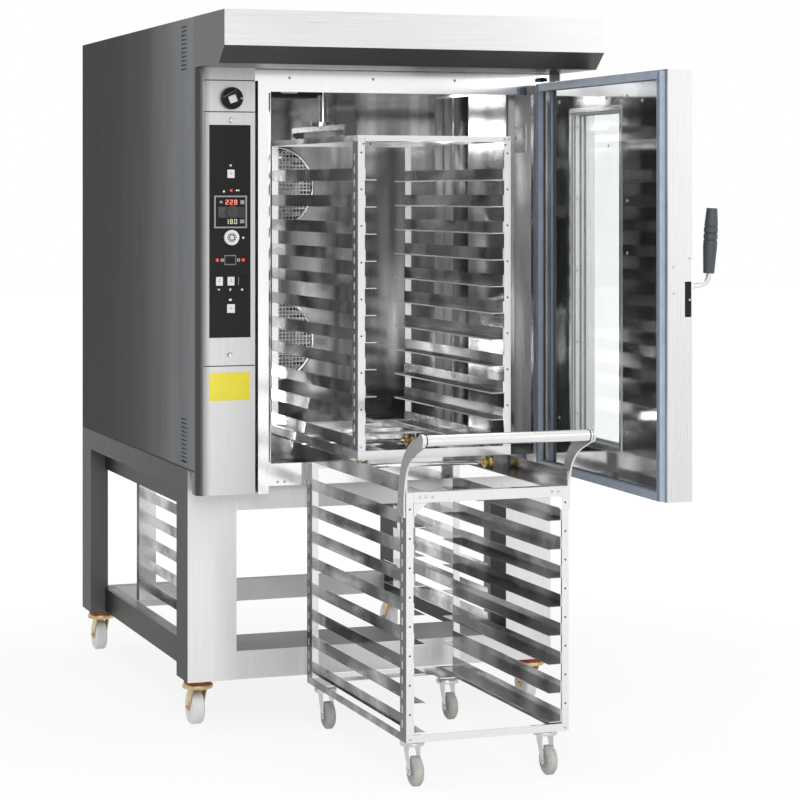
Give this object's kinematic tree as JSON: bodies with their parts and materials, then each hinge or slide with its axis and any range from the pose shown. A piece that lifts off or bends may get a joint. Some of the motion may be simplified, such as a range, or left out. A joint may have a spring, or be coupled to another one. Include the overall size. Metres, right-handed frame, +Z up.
{
  "type": "rotating rack oven",
  "caption": "Free-standing oven on a wheeled stand with side door, control column, hood, turning ceiling rotor, a tray rack rolled half out, and a docked loading trolley.",
  "frame": {"origin": "middle of the whole object's footprint, on the floor, in the pictured pose with the door open and the trolley docked", "axes": "+Z up, +Y from the front of the oven towards its back, +X to the right as seen from the front"},
  "size_m": [1.2088, 2.4558, 2.076],
  "materials": {
    "stand_steel": "welded stand, brushed stainless steel",
    "panel_steel": "cabinet side, roof and back sheets, brushed stainless steel",
    "front_steel": "hood, front frame, control column and door skin, brushed stainless steel",
    "bright_steel": "bright stainless steel of the racks, runners and rotor",
    "liner_steel": "polished stainless chamber liner and inner door panel",
    "zinc_yellow": "yellow passivated zinc on the oven's castor forks",
    "zinc_bright": "bright zinc on the trolley's castor forks",
    "brass": "brass rollers on their axle",
    "arm_grey": "push handle, satin steel",
    "cast_iron": "fan motors and gearmotor housings",
    "nylon": "white nylon oven wheels",
    "rubber_grey": "grey rubber trolley wheels",
    "grip_black": "black plastic grip",
    "seal": "blue-grey silicone door seal",
    "panel_black": "black control panel sheet",
    "cap_white": "white push buttons",
    "cap_black": "black knobs, switch and button",
    "window": "clear door glass"
  },
  "bodies": {
    "oven": {"stand_frame": "stand_steel", "stand_runners_left": "bright_steel", "stand_runners_right": "bright_steel", "cabinet_side_left": "panel_steel", "cabinet_side_right": "panel_steel", "cabinet_cover": "panel_steel", "hood": "front_steel", "front_frame": "front_steel", "column_housing": "front_steel", "control_plate": "front_steel", "control_glass": "panel_black", "chamber_shell": "liner_steel", "air_baffle": "liner_steel", "fan_motors": "cast_iron", "rotor_gearmotor": "cast_iron"},
    "castor_front_left_fork": {"castor_front_left_fork": "zinc_yellow"},
    "castor_front_left_wheel": {"castor_front_left_wheel": "nylon"},
    "castor_front_right_fork": {"castor_front_right_fork": "zinc_yellow"},
    "castor_front_right_wheel": {"castor_front_right_wheel": "nylon"},
    "castor_rear_left_fork": {"castor_rear_left_fork": "zinc_yellow"},
    "castor_rear_left_wheel": {"castor_rear_left_wheel": "nylon"},
    "castor_rear_right_fork": {"castor_rear_right_fork": "zinc_yellow"},
    "castor_rear_right_wheel": {"castor_rear_right_wheel": "nylon"},
    "trolley": {"trolley_side_left": "bright_steel", "trolley_side_right": "bright_steel", "trolley_top_frame": "bright_steel", "trolley_base": "bright_steel", "trolley_handle": "arm_grey"},
    "trolley_castor_front_left_fork": {"trolley_castor_front_left_fork": "zinc_bright"},
    "trolley_castor_front_left_wheel": {"trolley_castor_front_left_wheel": "rubber_grey"},
    "trolley_castor_front_right_fork": {"trolley_castor_front_right_fork": "zinc_bright"},
    "trolley_castor_front_right_wheel": {"trolley_castor_front_right_wheel": "rubber_grey"},
    "trolley_castor_rear_left_fork": {"trolley_castor_rear_left_fork": "zinc_bright"},
    "trolley_castor_rear_left_wheel": {"trolley_castor_rear_left_wheel": "rubber_grey"},
    "trolley_castor_rear_right_fork": {"trolley_castor_rear_right_fork": "zinc_bright"},
    "trolley_castor_rear_right_wheel": {"trolley_castor_rear_right_wheel": "rubber_grey"},
    "rack": {"rack_side_left": "bright_steel", "rack_side_right": "bright_steel", "rack_top_frame": "bright_steel", "rack_base_frame": "bright_steel"},
    "rack_wheelset_front": {"rack_wheelset_front": "brass"},
    "rack_wheelset_rear": {"rack_wheelset_rear": "brass"},
    "door": {"door_shell": "front_steel", "door_inner_panel": "liner_steel", "door_glass": "window", "door_gasket": "seal"},
    "door_handle": {"door_handle_rod": "bright_steel", "door_handle_grip": "grip_black"},
    "button_light": {"button_light": "cap_white"},
    "button_left": {"button_left": "cap_white"},
    "button_middle": {"button_middle": "cap_white"},
    "button_right": {"button_right": "cap_black"},
    "button_start": {"button_start": "cap_white"},
    "vent_knob": {"vent_knob": "cap_black"},
    "controller_knob": {"controller_knob": "cap_black"},
    "steam_dial": {"steam_dial": "cap_black"},
    "rocker_switch": {"rocker_switch": "cap_black"},
    "fan_upper": {"fan_upper": "bright_steel"},
    "fan_lower": {"fan_lower": "bright_steel"},
    "rotor": {"rotor": "bright_steel"}
  },
  "joints": [
    {"name": "castor_front_left_swivel", "type": "hinge", "parent": "oven", "child": "castor_front_left_fork", "pos_m": [-0.55861, -0.12108, 0.12], "axis": [0, 0, 1], "continuous": true},
    {"name": "castor_front_left_spin", "type": "hinge", "parent": "castor_front_left_fork", "child": "castor_front_left_wheel", "pos_m": [-0.55861, -0.09108, 0.04957], "axis": [1, 0, 0], "continuous": true},
    {"name": "castor_front_right_swivel", "type": "hinge", "parent": "oven", "child": "castor_front_right_fork", "pos_m": [0.49939, -0.12108, 0.12], "axis": [0, 0, 1], "continuous": true},
    {"name": "castor_front_right_spin", "type": "hinge", "parent": "castor_front_right_fork", "child": "castor_front_right_wheel", "pos_m": [0.49939, -0.09108, 0.04957], "axis": [1, 0, 0], "continuous": true},
    {"name": "castor_rear_left_swivel", "type": "hinge", "parent": "oven", "child": "castor_rear_left_fork", "pos_m": [-0.55861, 1.14192, 0.12], "axis": [0, 0, 1], "continuous": true},
    {"name": "castor_rear_left_spin", "type": "hinge", "parent": "castor_rear_left_fork", "child": "castor_rear_left_wheel", "pos_m": [-0.55861, 1.17192, 0.04957], "axis": [1, 0, 0], "continuous": true},
    {"name": "castor_rear_right_swivel", "type": "hinge", "parent": "oven", "child": "castor_rear_right_fork", "pos_m": [0.49939, 1.14192, 0.12], "axis": [0, 0, 1], "continuous": true},
    {"name": "castor_rear_right_spin", "type": "hinge", "parent": "castor_rear_right_fork", "child": "castor_rear_right_wheel", "pos_m": [0.49939, 1.17192, 0.04957], "axis": [1, 0, 0], "continuous": true},
    {"name": "trolley_roll", "type": "slide", "parent": "oven", "child": "trolley", "axis": [0, 1, 0], "range_m": [-0.8, 0]},
    {"name": "trolley_castor_front_left_swivel", "type": "hinge", "parent": "trolley", "child": "trolley_castor_front_left_fork", "pos_m": [-0.21061, -1.00608, 0.108], "axis": [0, 0, 1], "continuous": true},
    {"name": "trolley_castor_front_left_spin", "type": "hinge", "parent": "trolley_castor_front_left_fork", "child": "trolley_castor_front_left_wheel", "pos_m": [-0.21061, -1.03008, 0.03966], "axis": [1, 0, 0], "continuous": true},
    {"name": "trolley_castor_front_right_swivel", "type": "hinge", "parent": "trolley", "child": "trolley_castor_front_right_fork", "pos_m": [0.17139, -1.00608, 0.108], "axis": [0, 0, 1], "continuous": true},
    {"name": "trolley_castor_front_right_spin", "type": "hinge", "parent": "trolley_castor_front_right_fork", "child": "trolley_castor_front_right_wheel", "pos_m": [0.17139, -1.03008, 0.03966], "axis": [1, 0, 0], "continuous": true},
    {"name": "trolley_castor_rear_left_swivel", "type": "hinge", "parent": "trolley", "child": "trolley_castor_rear_left_fork", "pos_m": [-0.21061, -0.26808, 0.108], "axis": [0, 0, 1], "continuous": true},
    {"name": "trolley_castor_rear_left_spin", "type": "hinge", "parent": "trolley_castor_rear_left_fork", "child": "trolley_castor_rear_left_wheel", "pos_m": [-0.21061, -0.29208, 0.03966], "axis": [1, 0, 0], "continuous": true},
    {"name": "trolley_castor_rear_right_swivel", "type": "hinge", "parent": "trolley", "child": "trolley_castor_rear_right_fork", "pos_m": [0.17139, -0.26808, 0.108], "axis": [0, 0, 1], "continuous": true},
    {"name": "trolley_castor_rear_right_spin", "type": "hinge", "parent": "trolley_castor_rear_right_fork", "child": "trolley_castor_rear_right_wheel", "pos_m": [0.17139, -0.29208, 0.03966], "axis": [1, 0, 0], "continuous": true},
    {"name": "rack_slide", "type": "slide", "parent": "oven", "child": "rack", "axis": [0, 1, 0], "range_m": [-0.393, 0.578]},
    {"name": "rack_wheelset_front_spin", "type": "hinge", "parent": "rack", "child": "rack_wheelset_front", "pos_m": [-0.01961, -0.60008, 0.7983], "axis": [1, 0, 0], "continuous": true},
    {"name": "rack_wheelset_rear_spin", "type": "hinge", "parent": "rack", "child": "rack_wheelset_rear", "pos_m": [-0.01961, 0.04992, 0.7983], "axis": [1, 0, 0], "continuous": true},
    {"name": "door_hinge", "type": "hinge", "parent": "oven", "child": "door", "pos_m": [0.52639, -0.28108, 1.318], "axis": [0, 0, 1], "range_deg": [-12, 80]},
    {"name": "door_handle_turn", "type": "hinge", "parent": "door", "child": "door_handle", "pos_m": [0.52356, -1.17427, 1.317], "axis": [0.9997, -0.0244, 0], "range_deg": [-90, 0]},
    {"name": "button_light_press", "type": "slide", "parent": "oven", "child": "button_light", "axis": [0, 1, 0], "range_m": [0, 0.0025], "stiffness_N_per_m": 300},
    {"name": "button_left_press", "type": "slide", "parent": "oven", "child": "button_left", "axis": [0, 1, 0], "range_m": [0, 0.0025], "stiffness_N_per_m": 300},
    {"name": "button_middle_press", "type": "slide", "parent": "oven", "child": "button_middle", "axis": [0, 1, 0], "range_m": [0, 0.0025], "stiffness_N_per_m": 300},
    {"name": "button_right_press", "type": "slide", "parent": "oven", "child": "button_right", "axis": [0, 1, 0], "range_m": [0, 0.0025], "stiffness_N_per_m": 300},
    {"name": "button_start_press", "type": "slide", "parent": "oven", "child": "button_start", "axis": [0, 1, 0], "range_m": [0, 0.0025], "stiffness_N_per_m": 300},
    {"name": "vent_knob_turn", "type": "hinge", "parent": "oven", "child": "vent_knob", "pos_m": [-0.50161, -0.28008, 1.84], "axis": [0, 1, 0], "range_deg": [-135, 135]},
    {"name": "controller_knob_turn", "type": "hinge", "parent": "oven", "child": "controller_knob", "pos_m": [-0.50261, -0.28008, 1.513], "axis": [0, 1, 0], "range_deg": [-150, 150]},
    {"name": "steam_dial_turn", "type": "hinge", "parent": "oven", "child": "steam_dial", "pos_m": [-0.50361, -0.28008, 1.438], "axis": [0, 1, 0], "range_deg": [-150, 150]},
    {"name": "rocker_switch_tilt", "type": "hinge", "parent": "oven", "child": "rocker_switch", "pos_m": [-0.50561, -0.27888, 1.373], "axis": [1, 0, 0], "range_deg": [-8, 8]},
    {"name": "fan_upper_spin", "type": "hinge", "parent": "oven", "child": "fan_upper", "pos_m": [0.02639, 1.09592, 1.587], "axis": [0, 1, 0], "continuous": true},
    {"name": "fan_lower_spin", "type": "hinge", "parent": "oven", "child": "fan_lower", "pos_m": [0.02639, 1.09592, 1.057], "axis": [0, 1, 0], "continuous": true},
    {"name": "rotor_spin", "type": "hinge", "parent": "oven", "child": "rotor", "pos_m": [-0.01961, 0.33992, 1.8], "axis": [0, 0, 1], "continuous": true}
  ]
}
